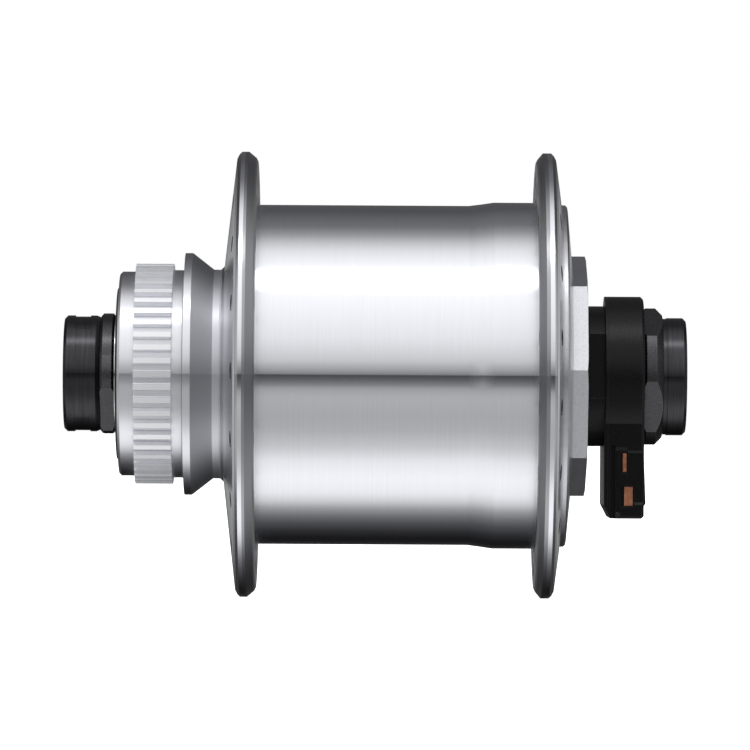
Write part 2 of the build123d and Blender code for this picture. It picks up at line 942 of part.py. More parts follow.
def connector_plate():
    """Thin lid on the connector's inner side, thicker below the inner nut."""
    disc = Pos(0, 0, connector_start) * extrude(connector_outline(lug_corner), plate_wall)
    half = block_width / 2
    lug_face = connector_start - lug_wall
    lug = slab((-half, half), (lug_start, block_reach - lug_corner), (lug_face, connector_start))
    room = ring(lug_face - overrun, connector_start, 0, inner_nut_dia / 2 + wire_gap)
    bore = ring(connector_start - overrun, housing_start + overrun, 0, threaded_r)
    return disc + (lug - room) - bore - connector_heel()


def save(name, piece):
    """Lay a piece down along the hub's axle and write it."""
    if isinstance(piece, list):
        piece = Compound(piece)
    export_step(LAID_DOWN * piece, f"parts/{name}.step")


def main():
    """Write every piece of the hub."""
    os.makedirs("parts", exist_ok=True)
    left_cone_length = left_ball_station - left_nut_end
    right_cone_length = inner_nut_start - right_ball_station
    pieces = {
        "axle_tube": axle_tube(),
        "left_end_cap": left_end_cap(),
        "left_lock_nut": left_lock_nut(),
        "left_bearing_cone": outboard(bearing_cone(left_cone_length), left_ball_station),
        "left_claw_yoke": left_claw_yoke(),
        "right_claw_yoke": right_claw_yoke(),
        "stator_core": stator_core(),
        "coil_bobbin": coil_bobbin(),
        "coil_winding": coil_winding(),
        "tab_washer": tab_washer(),
        "stator_nut": stator_nut(),
        "lead_wires": lead_wires(),
        "right_bearing_cone": outboard(bearing_cone(right_cone_length), right_ball_station),
        "right_inner_nut": right_inner_nut(),
        "connector_plate": connector_plate(),
        "connector_housing": connector_housing(),
        "upper_terminal": upper_terminal(),
        "lower_terminal": lower_terminal(),
        "right_lock_nut": right_lock_nut(),
        "right_end_cap": right_end_cap(),
        "left_ball_cage": outboard(ball_cage(), left_ball_station),
        "left_balls": [outboard(ball, left_ball_station) for ball in bearing_balls()],
        "right_ball_cage": outboard(ball_cage(), right_ball_station),
        "right_balls": [outboard(ball, right_ball_station) for ball in bearing_balls()],
        "hub_shell": hub_shell(),
        "left_bearing_cup": outboard(bearing_cup(), left_ball_station),
        "left_dust_cap": left_dust_cap(),
        "magnet_back_iron": magnet_back_iron(),
        "rotor_magnets": rotor_magnets(),
        "shell_cover": shell_cover(),
        "cover_gasket": cover_gasket(),
        "right_bearing_cup": outboard(bearing_cup(), right_ball_station),
        "right_dust_seal": right_dust_seal(),
    }
    for name, piece in pieces.items():
        save(name, piece)


main()
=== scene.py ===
import json
import math

import bpy
from bpy.props import FloatProperty, FloatVectorProperty, IntProperty, PointerProperty
from mathutils import Matrix, Vector


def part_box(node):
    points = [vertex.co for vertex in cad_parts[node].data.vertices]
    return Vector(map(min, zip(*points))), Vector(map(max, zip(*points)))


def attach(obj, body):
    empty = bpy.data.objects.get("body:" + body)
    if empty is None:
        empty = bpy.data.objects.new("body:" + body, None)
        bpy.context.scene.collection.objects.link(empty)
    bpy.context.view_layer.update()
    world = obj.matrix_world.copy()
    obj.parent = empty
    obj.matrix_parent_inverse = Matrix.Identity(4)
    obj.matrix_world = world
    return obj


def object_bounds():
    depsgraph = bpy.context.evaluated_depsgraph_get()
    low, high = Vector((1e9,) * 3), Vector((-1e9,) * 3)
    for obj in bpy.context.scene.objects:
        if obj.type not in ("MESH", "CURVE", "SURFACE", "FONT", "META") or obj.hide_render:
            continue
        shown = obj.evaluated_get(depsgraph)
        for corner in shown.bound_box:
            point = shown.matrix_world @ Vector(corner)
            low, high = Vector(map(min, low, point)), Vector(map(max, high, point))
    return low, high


bl_info = {
    "name": "Generator hub",
    "version": (1, 0, 0),
    "blender": (4, 5, 0),
    "location": "3D View > Sidebar > Generator Hub",
    "description": "Dresses a bicycle's generator hub: finishes, small added details, floor and light",
    "category": "Object",
}

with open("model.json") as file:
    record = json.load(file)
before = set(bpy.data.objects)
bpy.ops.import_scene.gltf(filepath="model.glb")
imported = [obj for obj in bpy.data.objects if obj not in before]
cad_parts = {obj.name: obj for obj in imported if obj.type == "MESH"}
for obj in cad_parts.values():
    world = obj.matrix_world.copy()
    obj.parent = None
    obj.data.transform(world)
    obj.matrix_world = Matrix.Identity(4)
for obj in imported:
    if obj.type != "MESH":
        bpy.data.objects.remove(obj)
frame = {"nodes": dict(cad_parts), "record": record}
CAD_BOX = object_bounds()
MM = 0.001
SIDEBAR = "Generator Hub"

# Radiance of the studio round the axle: degrees up from the camera's side, light. A ramp holds 32 stops.
STUDIO = (
    (-180, 0.06), (-158, 0.012), (-146, 0.010), (-133, 0.03), (-121, 0.085), (-112, 0.18),
    (-103, 0.39), (-95, 0.78), (-87, 1.06), (-74, 1.14), (-61, 1.01), (-50, 0.69), (-38, 0.515),
    (-28, 0.48), (-15, 0.53), (-8, 0.42), (-5, 0.04), (2.5, 0.04), (5, 0.45), (7.5, 0.67),
    (13, 0.78), (24, 0.975), (38, 1.10), (52, 1.20), (60, 1.24), (79, 1.20), (86, 1.08),
    (93, 0.94), (101, 0.68), (110, 0.37), (120, 0.19), (147, 0.09),
)
RAMP_SCALE = 0.2
COOL_BELOW, COOL_BLUE = 0.3, 1.05
# The studio fades where it looks along the axle. Pairs are |y| of a direction, from and to.
SIDE_ASIDE = (0.6, 0.85)
SIDE_SHARE = 0.45
# Narrow lamp over the camera, which only faces square to the axle see
KEY_LIGHT = 3.2
KEY_ANGLE, KEY_HALF = math.radians(68), math.radians(9)
KEY_ASIDE = (0.12, 0.35)
# White glow behind the hub, for faces that look along the axle. A slope is |z| over |y|.
GLOW_LIGHT, GLOW_SIDE_LIGHT = 0.5, 0.85
GLOW_SIDE_ASIDE = (0.6, 0.85)
GLOW_LOW_SLOPE, GLOW_LOW_SHARE = (0.3, 0.6), 0.1
GLOW_ASIDE = (0.08, 0.22)
GLOW_BACK = (0.0, 0.35)
GLOW_SLOPE = (1.0, 1.3)
LEAST_ASIDE = 0.01

# Paper floor, in metres, and the camera's sensor in millimetres
FLOOR_SIZE, FLOOR_CUTS, FLOOR_GAP = 6.0, 3, 0.2 * MM
FLOOR_CLOUD = (3.0, 2.0)
FLOOR_DARK, FLOOR_ROUGHNESS, FLOOR_GLOW = 0.985, 0.9, 1.0
SENSOR = 36.0
CLIP_START, CLIP_END = 0.05, 20.0

# Places on the shell that its finish tells apart: stations along the axle, and radii. The splines'
# stations are counted in from the boss's mouth.
SPOKE_COUNT = 18
SPOKE_CIRCLE_R = 31.4 * MM
SPOKE_HOLE_R = 1.3 * MM
SPOKE_HOLE_RIM = (SPOKE_HOLE_R + 0.04 * MM, SPOKE_HOLE_R + 0.12 * MM)
SPOKE_TURN = math.radians(1.0)
BOSS_FROM = 24.6 * MM
CONE = (25.95 * MM, 29.38 * MM)
SPLINE_FROM, SPLINE_TO = 3.0 * MM, 9.05 * MM
SPLINE_GROOVE_R = 17.05 * MM
SPLINE_EDGE = 0.07 * MM
SWELL = (-18.8 * MM, -14.8 * MM)
FLANGES_FROM_R = 28.6 * MM
FLANGES_INNER = (-27.45 * MM, 20.9 * MM)
FLANGE_OUTER_R = 35.6 * MM
RIGHT_OUTER_TO = -28.3 * MM
LEFT_OUTER_FROM = 21.8 * MM
LEFT_OUTER_FADE = (22.8 * MM, 23.9 * MM)

# Finishes. A noise is its scale per metre, detail and roughness; marks are noise per metre along and
# round a turned piece; a window is the part of a noise that is used; a bump is its depth and strength.
# The edge window is the cosine between the softened normal and the true one. The mix node keeps its
# colours in the sockets given here.
NOISE_WINDOW = (0.3, 0.7)
MARK_NOISE = (1.0, 3.0, 0.6)
MIX_LOW, MIX_HIGH, MIX_RESULT = 6, 7, 2
EDGE_SAMPLES = 4
EDGE_WINDOW = (0.985, 0.90)
# Blue tint of the painted highlight along edges
EDGE_HIGHLIGHT_BLUE = 1.03
QUARTER_TURN = 0.25
METAL_EDGE = 0.1 * MM

# Silver of the shell: share of its colour and added roughness, place by place. The colour shares are
# painted shade, and on the splines partly a matte finish and partly painted light.
SILVER_MARKS = (5200.0, 70.0)
SILVER_CLOUD = (42.0, 3.0)
SILVER_MARK_SHARE = 0.6
SILVER_DARK = 0.965
SILVER_SPREAD = (-0.012, 0.02)
SILVER_STRETCH = 0.8
SILVER_BUMP = (0.006 * MM, 0.3)
SILVER_EDGE = 0.07 * MM
SILVER_PAINTED_LIGHT_AND_SHADE = (
    ("flanges_inner", 0.5), ("flanges_outer", 0.6), ("cone", 0.66),
    ("splines", 1.25), ("spline_grooves", 0.85), ("spline_edges", 0.2),
)
SILVER_DULLNESS = (("flanges_inner", 0.2), ("boss", 0.15), ("neck", 0.18), ("splines", 0.03))
# Share of the colour inside the spoke holes: painted shade
SPOKE_HOLE_PAINTED_SHADE = 0.12
SPLINE_DULL = 0.55
SWELL_WINDOW, SWELL_DULLNESS = (0.35, 0.65), (0.005, 0.03)

# Blasted silver of the cover
BLASTED_GRAIN = (5600.0, 2.0, 0.6)
BLASTED_PITS = (3100.0, 1.0)
BLASTED_CLOUD = (130.0, 2.0)
BLASTED_GRAIN_SHARE = 0.7
BLASTED_WINDOW = (0.32, 0.55)
BLASTED_DARK = 0.80
BLASTED_DULLER = 0.12
BLASTED_SPREAD = (-0.02, 0.03)
BLASTED_BUMP = (0.02 * MM, 0.5)

# Black anodised caps
BLACK_MARKS = (2600.0, 110.0)
BLACK_SPECKLE = (5200.0, 2.0, 0.65)
BLACK_MARK_SHARE = 0.75
BLACK_WINDOW = (0.38, 0.66)
# Dark and light streaks, and the colour of the painted highlight along the caps' edges
BLACK_DARK, BLACK_LIGHT, BLACK_EDGE_HIGHLIGHT = 0.8, 1.25, 0.10
BLACK_ROUGHNESS = (0.20, 0.27)
BLACK_STRETCH = 0.4
BLACK_BUMP = (0.012 * MM, 0.35)
BLACK_EDGE = 0.14 * MM

# Blackened nuts. Each has its width across flats, the angle of a flat and the strength of its grain.
NUT_MARKS = (3600.0, 90.0)
NUT_SPECKLE = (4200.0, 3.0, 0.7)
NUT_MARK_SHARE = 0.4
NUT_TURNED_WINDOW, NUT_TURNED_LIGHT = (0.35, 0.7), 1.5
NUT_FLAT_WINDOW, NUT_FLAT_DARK = (0.32, 0.68), 0.6
NUT_FLAT_EDGE = (0.06 * MM, 0.02 * MM)
# Colour of the painted highlight along the nuts' edges
NUT_EDGE_HIGHLIGHT = 0.16
NUT_ROUGHNESS = (0.22, 0.32)
NUT_GRAIN_DEPTH = 0.05 * MM
# Share of the black steel's colour on the inner nut and the other pieces of its slot: painted shade, as
# the nut sits between cover and connector
INNER_NUT, INNER_NUT_PAINTED_SHADE = (20.0 * MM, math.radians(-9.8), 0.1), 0.25
LOCK_NUT = (20.0 * MM, math.radians(29.0), 0.6)
LEFT_NUT, LEFT_NUT_SHARE = (17.0 * MM, math.radians(43.0), 0.12), 1.8

# Enamelled winding
WINDING_MARKS = (900.0, 40.0)
WIRE_PITCH = 0.55 * MM
# Share of the colour in the grooves between turns: painted shade
WIRE_WINDOW, WIRE_GROOVE_PAINTED_SHADE = (0.0, 0.7), 0.25
WINDING_ROUGHNESS = (0.22, 0.34)
WINDING_BUMP = (0.27 * MM, 0.9)

# Copper contacts
STRIP_LINES = (4000.0, 5000.0, 260.0)
TARNISH = (900.0, 3.0)
TARNISH_WINDOW, TARNISH_SHARE = (0.35, 0.65), 0.62
STRIP_ROUGHNESS = (0.32, 0.45)
STRIP_BUMP = (0.01 * MM, 0.5)
STRIP_EDGE = 0.06 * MM

# Hidden steels: colour, roughness, marks per metre along the piece
STEELS = {
    "axle_steel": ((0.50, 0.50, 0.52), 0.32, 2600.0),
    "bearing_steel": ((0.70, 0.70, 0.72), 0.12, 5200.0),
    "soft_iron": ((0.42, 0.42, 0.43), 0.38, 1400.0),
}
STEEL_AROUND = 60.0
STEEL_DARK = 0.85
STEEL_SPREAD = (-0.03, 0.05)
STEEL_BUMP = (0.01 * MM, 0.4)

# Mouldings: colour, roughness, grain per metre, its depth, edge. The connector adds gloss and the strength
# of the painted highlight along its edges.
MOULDINGS = {
    "ferrite": ((0.07, 0.07, 0.075), 0.62, 3000.0, 0.02 * MM, 0.1 * MM),
    "bobbin_plastic": ((0.62, 0.60, 0.53), 0.45, 2600.0, 0.01 * MM, 0.1 * MM),
    "wire_sleeve": ((0.45, 0.05, 0.03), 0.5, 2400.0, 0.01 * MM, 0.1 * MM),
    "black_rubber": ((0.012, 0.012, 0.012), 0.6, 2400.0, 0.02 * MM, 0.2 * MM),
}
CONNECTOR = (0.25, 5200.0, 0.04 * MM, 0.12 * MM, 0.20, 30.0)
MOULD_GRAIN = (3.0, 0.7)
MOULD_CLOUD = (160.0, 2.0)
MOULD_GRAIN_SHARE = 0.7
MOULD_WINDOW = (0.35, 0.7)
MOULD_LIGHT, MOULD_LIFT = 1.5, 0.002
MOULD_SPREAD = 0.06
MOULD_BUMP_STRENGTH = 0.6

# Room that the solids leave for the added details, and how these are made
BOSS_PROUD = 0.4 * MM
LOCK_LEDGE = 0.59 * MM
BURIED = 0.05 * MM
THREAD_ROOT_HALF = 0.45
THREAD_TIP_SHARE = 0.15
DUST_CAP_FACE = 1.0 * MM
SEAL_GAP = 0.35 * MM
LIP_GAP = 0.02 * MM
ROUND_STEPS = 96
WELD = 0.001 * MM
END_SIDES = 8
SMOOTH_ANGLE = math.radians(35)


# Sizes and colours that a user would change
class FinishSettings(bpy.types.PropertyGroup):
    """Colours and gloss of the hub's finishes."""

    silver: FloatVectorProperty(
        name="Silver", description="Colour of the clear-anodised shell and cover",
        subtype="COLOR", size=3, min=0, max=1, default=(0.80, 0.81, 0.852),
    )
    silver_roughness: FloatProperty(
        name="Silver roughness", description="Roughness of the turned silver surfaces",
        subtype="FACTOR", min=0, max=1, default=0.17,
    )
    cover_share: FloatProperty(
        name="Cover brightness", description="How bright the milled cover is beside the shell",
        subtype="FACTOR", min=0, max=1, default=0.76,
    )
    black: FloatVectorProperty(
        name="Black anodising", description="Colour of the caps in the fork",
        subtype="COLOR", size=3, min=0, max=1, default=(0.048, 0.048, 0.052),
    )
    steel_black: FloatVectorProperty(
        name="Black steel", description="Colour of the blackened nuts",
        subtype="COLOR", size=3, min=0, max=1, default=(0.050, 0.050, 0.053),
    )
    steel_flat: FloatVectorProperty(
        name="Milled flats", description="Colour of the flats on the blackened nuts",
        subtype="COLOR", size=3, min=0, max=1, default=(0.092, 0.092, 0.100),
    )
    plastic: FloatVectorProperty(
        name="Connector plastic", description="Colour of the moulded connector",
        subtype="COLOR", size=3, min=0, max=1, default=(0.0010, 0.0010, 0.0012),
    )
    copper: FloatVectorProperty(
        name="Copper", description="Colour of the two contacts and the coil",
        subtype="COLOR", size=3, min=0, max=1, default=(0.62, 0.27, 0.16),
    )


class DetailSettings(bpy.types.PropertyGroup):
    """Sizes of the details that are added to the solids."""

    thread_pitch: FloatProperty(
        name="Thread pitch", description="Pitch of the lock-ring thread",
        subtype="DISTANCE", unit="LENGTH", min=0.0003, default=1.0 * MM,
    )
    thread_depth: FloatProperty(
        name="Thread depth", description="How far the thread stands in from the boss's wall",
        subtype="DISTANCE", unit="LENGTH", min=0.0001, default=0.45 * MM,
    )
    thread_turns: IntProperty(
        name="Thread turns", description="Whole turns of the thread", min=1, default=4,
    )
    lip_share: FloatProperty(
        name="Lip", description="Width of the seal's lip as a share of its root",
        subtype="FACTOR", min=0, max=1, default=0.3,
    )


class StageSettings(bpy.types.PropertyGroup):
    """Camera distance and light of the studio."""

    distance: FloatProperty(
        name="Camera distance", description="From the camera to the hub's axis",
        subtype="DISTANCE", unit="LENGTH", min=0.3, default=1.1,
    )
    width: FloatProperty(
        name="Width in view", description="Width seen at the hub's axis",
        subtype="DISTANCE", unit="LENGTH", min=0.05, default=0.121007,
    )
    roll: FloatProperty(
        name="Roll", description="Turn of the camera about its own line of sight",
        subtype="ANGLE", unit="ROTATION", default=math.radians(0.33),
    )
    light: FloatProperty(
        name="Studio light", description="Strength of the studio's light",
        subtype="FACTOR", min=0, soft_max=4, default=1.0,
    )
    floor: FloatVectorProperty(
        name="Floor", description="Colour of the floor",
        subtype="COLOR", size=3, min=0, max=1, default=(0.93, 0.93, 0.935),
    )


# Node helpers
def new_material(name):
    """Material with only a shader and its output."""
    material = bpy.data.materials.new(name)
    material.use_nodes = True
    tree = material.node_tree
    tree.nodes.clear()
    output = tree.nodes.new("ShaderNodeOutputMaterial")
    shader = tree.nodes.new("ShaderNodeBsdfPrincipled")
    tree.links.new(shader.outputs["BSDF"], output.inputs["Surface"])
    return material, tree, shader


def times(share, colour):
    """Each part of a colour times a share."""
    return tuple(share * part for part in colour)


def math_node(tree, operation, first, second=None, third=None):
    """Math node whose inputs are sockets or numbers. Gives its output."""
    node = tree.nodes.new("ShaderNodeMath")
    node.operation = operation
    for index, value in enumerate((first, second, third)):
        if value is None:
            continue
        if isinstance(value, (int, float)):
            node.inputs[index].default_value = value
        else:
            tree.links.new(value, node.inputs[index])
    return node.outputs[0]


def product(tree, first, *others):
    """Product of sockets or numbers."""
    for other in others:
        first = math_node(tree, "MULTIPLY", first, other)
    return first


def length(tree, first, second):
    """Length of two sides at right angles."""
    squares = math_node(tree, "ADD", product(tree, first, first), product(tree, second, second))
    return math_node(tree, "SQRT", squares)


def blended(tree, first, second, share):
    """Two values, the first by its share and the second by the rest."""
    return math_node(tree, "ADD", product(tree, first, share), product(tree, second, 1.0 - share))


def between(tree, value, low, high):
    """1 where a value lies between two numbers, else 0."""
    above = math_node(tree, "GREATER_THAN", value, low)
    return product(tree, above, math_node(tree, "LESS_THAN", value, high))


def combine(tree, x, y, z):
    """Vector from three sockets or numbers."""
    node = tree.nodes.new("ShaderNodeCombineXYZ")
    for socket, value in zip(node.inputs, (x, y, z)):
        if isinstance(value, (int, float)):
            socket.default_value = value
        else:
            tree.links.new(value, socket)
    return node.outputs[0]


def separate(tree, vector):
    """The three parts of a vector."""
    node = tree.nodes.new("ShaderNodeSeparateXYZ")
    tree.links.new(vector, node.inputs[0])
    return node.outputs


def noise(tree, vector, scale, detail=2.0, roughness=0.5):
    """Noise on a vector, as its value."""
    node = tree.nodes.new("ShaderNodeTexNoise")
    node.inputs["Scale"].default_value = scale
    node.inputs["Detail"].default_value = detail
    node.inputs["Roughness"].default_value = roughness
    tree.links.new(vector, node.inputs["Vector"])
    return node.outputs["Fac"]


def ranged(tree, value, low, high, new_low, new_high):
    """Value carried from one range to another, and kept inside it."""
    node = tree.nodes.new("ShaderNodeMapRange")
    node.inputs["From Min"].default_value = low
    node.inputs["From Max"].default_value = high
    node.inputs["To Min"].default_value = new_low
    node.inputs["To Max"].default_value = new_high
    tree.links.new(value, node.inputs["Value"])
    return node.outputs["Result"]


def tinted(tree, factor, low, high):
    """Colour between two colours."""
    node = tree.nodes.new("ShaderNodeMix")
    node.data_type = "RGBA"
    node.inputs[MIX_LOW].default_value = (*low, 1)
    node.inputs[MIX_HIGH].default_value = (*high, 1)
    tree.links.new(factor, node.inputs[0])
    return node.outputs[MIX_RESULT]


def mixed(tree, factor, first, second):
    """Colour between two colours that are themselves made by nodes."""
    node = tree.nodes.new("ShaderNodeMix")
    node.data_type = "RGBA"
    tree.links.new(factor, node.inputs[0])
    tree.links.new(first, node.inputs[MIX_LOW])
    tree.links.new(second, node.inputs[MIX_HIGH])
    return node.outputs[MIX_RESULT]


def scaled(tree, colour, share):
    """Colour times a share, both made by nodes."""
    node = tree.nodes.new("ShaderNodeVectorMath")
    node.operation = "SCALE"
    tree.links.new(colour, node.inputs[0])
    tree.links.new(share, node.inputs["Scale"])
    return node.outputs[0]


def bump(tree, height, distance, strength, normal):
    """Bump from a height, over another normal. Gives a normal."""
    node = tree.nodes.new("ShaderNodeBump")
    node.inputs["Strength"].default_value = strength
    node.inputs["Distance"].default_value = distance
    tree.links.new(height, node.inputs["Height"])
    tree.links.new(normal, node.inputs["Normal"])
    return node.outputs["Normal"]


def edge_normal(tree, radius):
    """Normal softened over the edges, as if they were broken by hand."""
    node = tree.nodes.new("ShaderNodeBevel")
    node.samples = EDGE_SAMPLES
    node.inputs["Radius"].default_value = radius
    return node.outputs["Normal"]


def edge_mask(tree, softened):
    """Where the softened normal leaves the true one: along the edges."""
    true = tree.nodes.new("ShaderNodeNewGeometry").outputs["Normal"]
    dot = tree.nodes.new("ShaderNodeVectorMath")
    dot.operation = "DOT_PRODUCT"
    tree.links.new(softened, dot.inputs[0])
    tree.links.new(true, dot.inputs[1])
    return ranged(tree, dot.outputs["Value"], *EDGE_WINDOW, 0.0, 1.0)


def edges_painted_highlight(tree, colour, softened, share):
    """Colour that turns paler along the edges: a painted highlight."""
    pale = tree.nodes.new("ShaderNodeRGB").outputs[0]
    pale.default_value = (share, share, EDGE_HIGHLIGHT_BLUE * share, 1)
    return mixed(tree, edge_mask(tree, softened), colour, pale)


def object_place(tree):
    """Place in the object's own coordinates."""
    return tree.nodes.new("ShaderNodeTexCoord").outputs["Object"]


def turning_marks(tree, fine, around):
    """Place, its coordinates and radius, and a lathe's marks: quick along the piece, slow round it."""
    place = object_place(tree)
    x, y, z = separate(tree, place)
    radius = length(tree, x, z)
    along = math_node(tree, "ADD", y, radius)
    vector = combine(tree, product(tree, along, fine), product(tree, x, around), product(tree, z, around))
    return place, (x, y, z), radius, noise(tree, vector, *MARK_NOISE)


def round_tangent(tree, shader, stretch):
    """Gloss stretched across the fine rings that a lathe leaves round the axle."""
    tangent = tree.nodes.new("ShaderNodeTangent")
    tangent.direction_type = "RADIAL"
    tangent.axis = "Y"
    tree.links.new(tangent.outputs[0], shader.inputs["Tangent"])
    shader.inputs["Anisotropic"].default_value = stretch
    shader.inputs["Anisotropic Rotation"].default_value = QUARTER_TURN


# Finishes
def from_spoke_hole(tree, x, y, z, radius):
    """Distance from the nearest spoke hole's middle line. It is large inside the flanges' foot."""
    pitch = 2 * math.pi / SPOKE_COUNT
    turned = math_node(tree, "ARCTAN2", z, product(tree, x, -1.0))
    lead_side = math_node(tree, "LESS_THAN", y, 0.0)
    turned = math_node(tree, "MULTIPLY_ADD", lead_side, pitch / 2, turned)
    turned = math_node(tree, "ADD", turned, 2 * math.pi - SPOKE_TURN + pitch / 2)
    away = math_node(tree, "SUBTRACT", math_node(tree, "MODULO", turned, pitch), pitch / 2)
    across = product(tree, math_node(tree, "SINE", away), radius)
    outward = product(tree, math_node(tree, "COSINE", away), radius)
    outward = math_node(tree, "SUBTRACT", outward, SPOKE_CIRCLE_R)
    inside = math_node(tree, "LESS_THAN", radius, FLANGES_FROM_R)
    return math_node(tree, "ADD", length(tree, across, outward), inside)


def shell_places(tree, y, radius):
    """Places on the shell by name, from station and radius: 1 inside each, 0 outside."""
    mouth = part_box("left_dust_cap")[1].y
    flange = math_node(tree, "GREATER_THAN", radius, FLANGES_FROM_R)
    right_outer = product(tree, math_node(tree, "LESS_THAN", y, RIGHT_OUTER_TO), flange)
    left_outer = math_node(tree, "GREATER_THAN", y, LEFT_OUTER_FROM)
    left_outer = product(tree, left_outer, ranged(tree, y, *LEFT_OUTER_FADE, 1.0, 0.0))
    outer = math_node(tree, "MAXIMUM", right_outer, left_outer)
    boss = math_node(tree, "GREATER_THAN", y, BOSS_FROM)
    splines = between(tree, y, mouth - SPLINE_TO, mouth - SPLINE_FROM)
    return {
        "flanges_inner": product(tree, between(tree, y, *FLANGES_INNER), flange),
        "flanges_outer": product(tree, outer, math_node(tree, "LESS_THAN", radius, FLANGE_OUTER_R)),
        "cone": between(tree, y, *CONE),
        "splines": splines,
        "spline_grooves": product(tree, splines, math_node(tree, "LESS_THAN", radius, SPLINE_GROOVE_R)),
        "spline_edges": product(tree, splines, edge_mask(tree, edge_normal(tree, SPLINE_EDGE))),
        "swell": between(tree, y, *SWELL),
        "boss": boss,
        "neck": product(tree, boss, math_node(tree, "LESS_THAN", y, CONE[1])),
    }


def silver_anodised(colour, rough):
    """Clear-anodised aluminium, finely turned round the axle, with its own gloss in each place. Its colour
    has painted shade on the flanges, cone, spline grooves and tooth edges and in the spoke holes, and a
    lighter tone on the splines that is partly a matte finish and partly painted light.
    """
    material, tree, shader = new_material("silver_anodised")
    place, (x, y, z), radius, marks = turning_marks(tree, *SILVER_MARKS)
    places = shell_places(tree, y, radius)
    shade = tinted(tree, ranged(tree, marks, *NOISE_WINDOW, 0.0, 1.0), times(SILVER_DARK, colour), colour)
    # Share of the colour place by place: painted shade, and on the splines partly painted light
    for name, share in SILVER_PAINTED_LIGHT_AND_SHADE:
        shade = scaled(tree, shade, ranged(tree, places[name], 0.0, 1.0, 1.0, share))
    # Painted shade inside the spoke holes, fading out at their rim
    hole = from_spoke_hole(tree, x, y, z, radius)
    shade = scaled(tree, shade, ranged(tree, hole, *SPOKE_HOLE_RIM, SPOKE_HOLE_PAINTED_SHADE, 1.0))
    tree.links.new(shade, shader.inputs["Base Color"])
    mix = blended(tree, marks, noise(tree, place, *SILVER_CLOUD), SILVER_MARK_SHARE)
    low, high = SILVER_SPREAD
    dull = ranged(tree, mix, *NOISE_WINDOW, rough + low, rough + high)
    swell = ranged(tree, marks, *SWELL_WINDOW, *SWELL_DULLNESS)
    dull = math_node(tree, "MULTIPLY_ADD", places["swell"], swell, dull)
    for name, more in SILVER_DULLNESS:
        dull = math_node(tree, "MULTIPLY_ADD", places[name], more, dull)
    tree.links.new(dull, shader.inputs["Roughness"])
    metal = ranged(tree, places["splines"], 0.0, 1.0, 1.0, 1.0 - SPLINE_DULL)
    tree.links.new(metal, shader.inputs["Metallic"])
    round_tangent(tree, shader, SILVER_STRETCH)
    normal = bump(tree, marks, *SILVER_BUMP, edge_normal(tree, SILVER_EDGE))
    tree.links.new(normal, shader.inputs["Normal"])
    return material


def silver_blasted(colour, rough):
    """Clear-anodised aluminium over a fine blasted grain."""
    material, tree, shader = new_material("cover_silver")
    place = object_place(tree)
    cloud = noise(tree, place, *BLASTED_CLOUD)
    grain = noise(tree, place, *BLASTED_GRAIN)
    mix = blended(tree, grain, noise(tree, place, *BLASTED_PITS), BLASTED_GRAIN_SHARE)
    shade = tinted(tree, ranged(tree, mix, *BLASTED_WINDOW, 0.0, 1.0), times(BLASTED_DARK, colour), colour)
    tree.links.new(shade, shader.inputs["Base Color"])
    low, high = BLASTED_SPREAD
    dull = ranged(tree, cloud, *NOISE_WINDOW, rough + low, rough + high)
    tree.links.new(dull, shader.inputs["Roughness"])
    shader.inputs["Metallic"].default_value = 1.0
    normal = bump(tree, mix, *BLASTED_BUMP, edge_normal(tree, METAL_EDGE))
    tree.links.new(normal, shader.inputs["Normal"])
    return material


def black_anodised(colour):
    """Black anodised aluminium with the streaks of the lathe."""
    material, tree, shader = new_material("black_anodised")
    place, _, _, marks = turning_marks(tree, *BLACK_MARKS)
    mix = blended(tree, marks, noise(tree, place, *BLACK_SPECKLE), BLACK_MARK_SHARE)
    soft = edge_normal(tree, BLACK_EDGE)
    streak = ranged(tree, mix, *BLACK_WINDOW, 0.0, 1.0)
    shade = tinted(tree, streak, times(BLACK_DARK, colour), times(BLACK_LIGHT, colour))
    # Paler edges: a painted highlight
    tree.links.new(edges_painted_highlight(tree, shade, soft, BLACK_EDGE_HIGHLIGHT), shader.inputs["Base Color"])
    tree.links.new(ranged(tree, mix, *NOISE_WINDOW, *BLACK_ROUGHNESS), shader.inputs["Roughness"])
    shader.inputs["Metallic"].default_value = 1.0
    round_tangent(tree, shader, BLACK_STRETCH)
    tree.links.new(bump(tree, mix, *BLACK_BUMP, soft), shader.inputs["Normal"])
    return material


